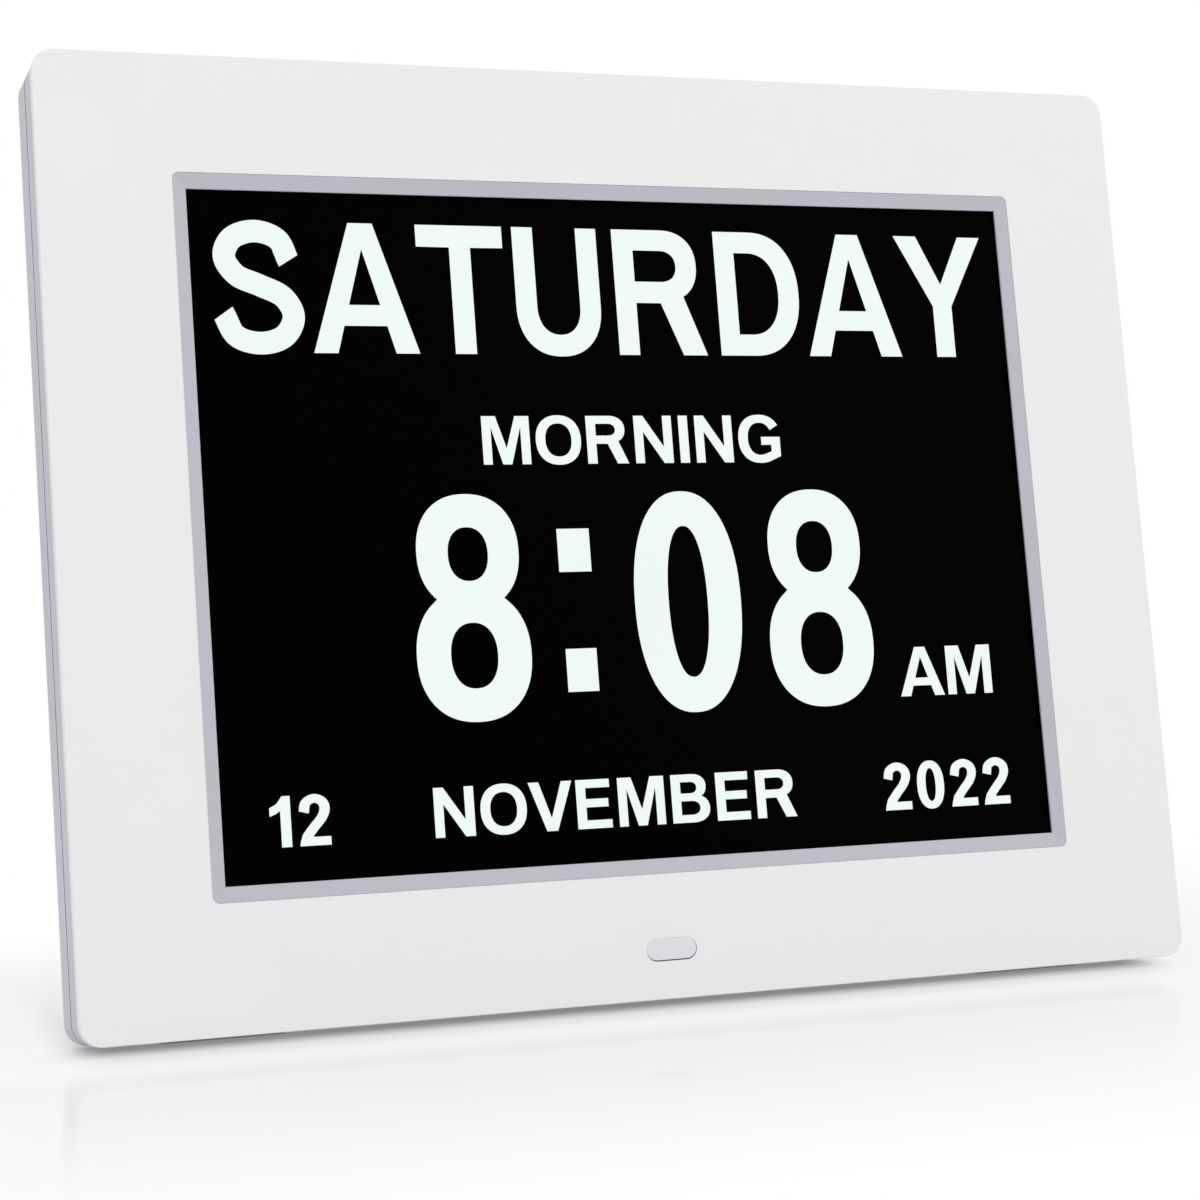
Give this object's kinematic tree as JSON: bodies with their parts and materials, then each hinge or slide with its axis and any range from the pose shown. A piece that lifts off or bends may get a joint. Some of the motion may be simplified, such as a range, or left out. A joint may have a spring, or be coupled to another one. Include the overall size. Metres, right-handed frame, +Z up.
{
  "type": "calendar clock",
  "caption": "Free-standing digital day and date clock: flat white front plate, lilac-grey trim and thin case round a black display, push buttons on the back, fold-out stand leg.",
  "frame": {"origin": "middle of the footprint on the surface that the clock stands on", "axes": "+Z up, +X to the right as seen from the front, +Y to the back; the front faces -Y and leans back"},
  "size_m": [0.2148, 0.0621, 0.1731],
  "materials": {
    "plate_white": "smooth satin white",
    "case_lilac_grey": "fine satin texture",
    "trim_lilac_grey": "smooth satin",
    "pill_milky": "milky translucent",
    "screen_black": "matte anti-glare black",
    "sheet_steel": "plain sheet",
    "screw_steel": "plated",
    "guide_clear": "clear",
    "tray_white": "moulded",
    "led_strip": "lamps on a strip",
    "board_green": "solder mask",
    "part_black": "moulded",
    "cone_paper": "pressed paper",
    "can_aluminium": "can",
    "cell_steel": "stamped",
    "cable_film": "flat film",
    "pin_steel": "ground",
    "washer_nylon": "moulded",
    "button_grey": "smooth satin",
    "rubber_grey": "matt"
  },
  "bodies": {
    "case": {"board_connectors": "tray_white", "board_screws": "screw_steel", "button_board": "board_green", "button_cable": "cable_film", "button_screws": "screw_steel", "capacitors": "can_aluminium", "cell_holder": "tray_white", "clip_screws": "screw_steel", "coin_cell": "cell_steel", "cover_screws": "screw_steel", "display_cable": "cable_film", "friction_washers": "washer_nylon", "front_housing": "case_lilac_grey", "front_panel": "plate_white", "hinge_pins": "pin_steel", "ir_receiver": "part_black", "lcd_bezel": "sheet_steel", "lcd_clips": "sheet_steel", "lcd_glass": "screen_black", "lcd_tray": "tray_white", "led_strip": "led_strip", "light_guide": "guide_clear", "main_board": "board_green", "main_chips": "part_black", "rear_cover": "case_lilac_grey", "rubber_feet": "rubber_grey", "screen_trim": "trim_lilac_grey", "sensor_board": "board_green", "sensor_cable": "cable_film", "sensor_window": "pill_milky", "speaker_cable": "cable_film", "speaker_cone": "cone_paper", "speaker_frame": "part_black", "supply_socket": "part_black", "tact_switches": "part_black"},
    "leg": {"stand_leg": "case_lilac_grey", "leg_foot": "rubber_grey"},
    "power_key": {"button_power": "button_grey"},
    "menu_key": {"button_menu": "button_grey"},
    "exit_key": {"button_exit": "button_grey"},
    "up_key": {"button_up": "button_grey"},
    "down_key": {"button_down": "button_grey"},
    "left_key": {"button_left": "button_grey"},
    "right_key": {"button_right": "button_grey"}
  },
  "joints": [
    {"name": "leg_fold", "type": "hinge", "parent": "case", "child": "leg", "pos_m": [0, 0.00942, 0.07475], "axis": [1, 0, 0], "range_deg": [-26, 0]},
    {"name": "power_press", "type": "slide", "parent": "case", "child": "power_key", "axis": [0, -0.9781, 0.2079], "range_m": [0, 0.0005], "stiffness_N_per_m": 300, "springref_m": -0.0005},
    {"name": "menu_press", "type": "slide", "parent": "case", "child": "menu_key", "axis": [0, -0.9781, 0.2079], "range_m": [0, 0.0005], "stiffness_N_per_m": 300, "springref_m": -0.0005},
    {"name": "exit_press", "type": "slide", "parent": "case", "child": "exit_key", "axis": [0, -0.9781, 0.2079], "range_m": [0, 0.0005], "stiffness_N_per_m": 300, "springref_m": -0.0005},
    {"name": "up_press", "type": "slide", "parent": "case", "child": "up_key", "axis": [0, -0.9781, 0.2079], "range_m": [0, 0.0005], "stiffness_N_per_m": 300, "springref_m": -0.0005},
    {"name": "down_press", "type": "slide", "parent": "case", "child": "down_key", "axis": [0, -0.9781, 0.2079], "range_m": [0, 0.0005], "stiffness_N_per_m": 300, "springref_m": -0.0005},
    {"name": "left_press", "type": "slide", "parent": "case", "child": "left_key", "axis": [0, -0.9781, 0.2079], "range_m": [0, 0.0005], "stiffness_N_per_m": 300, "springref_m": -0.0005},
    {"name": "right_press", "type": "slide", "parent": "case", "child": "right_key", "axis": [0, -0.9781, 0.2079], "range_m": [0, 0.0005], "stiffness_N_per_m": 300, "springref_m": -0.0005}
  ]
}
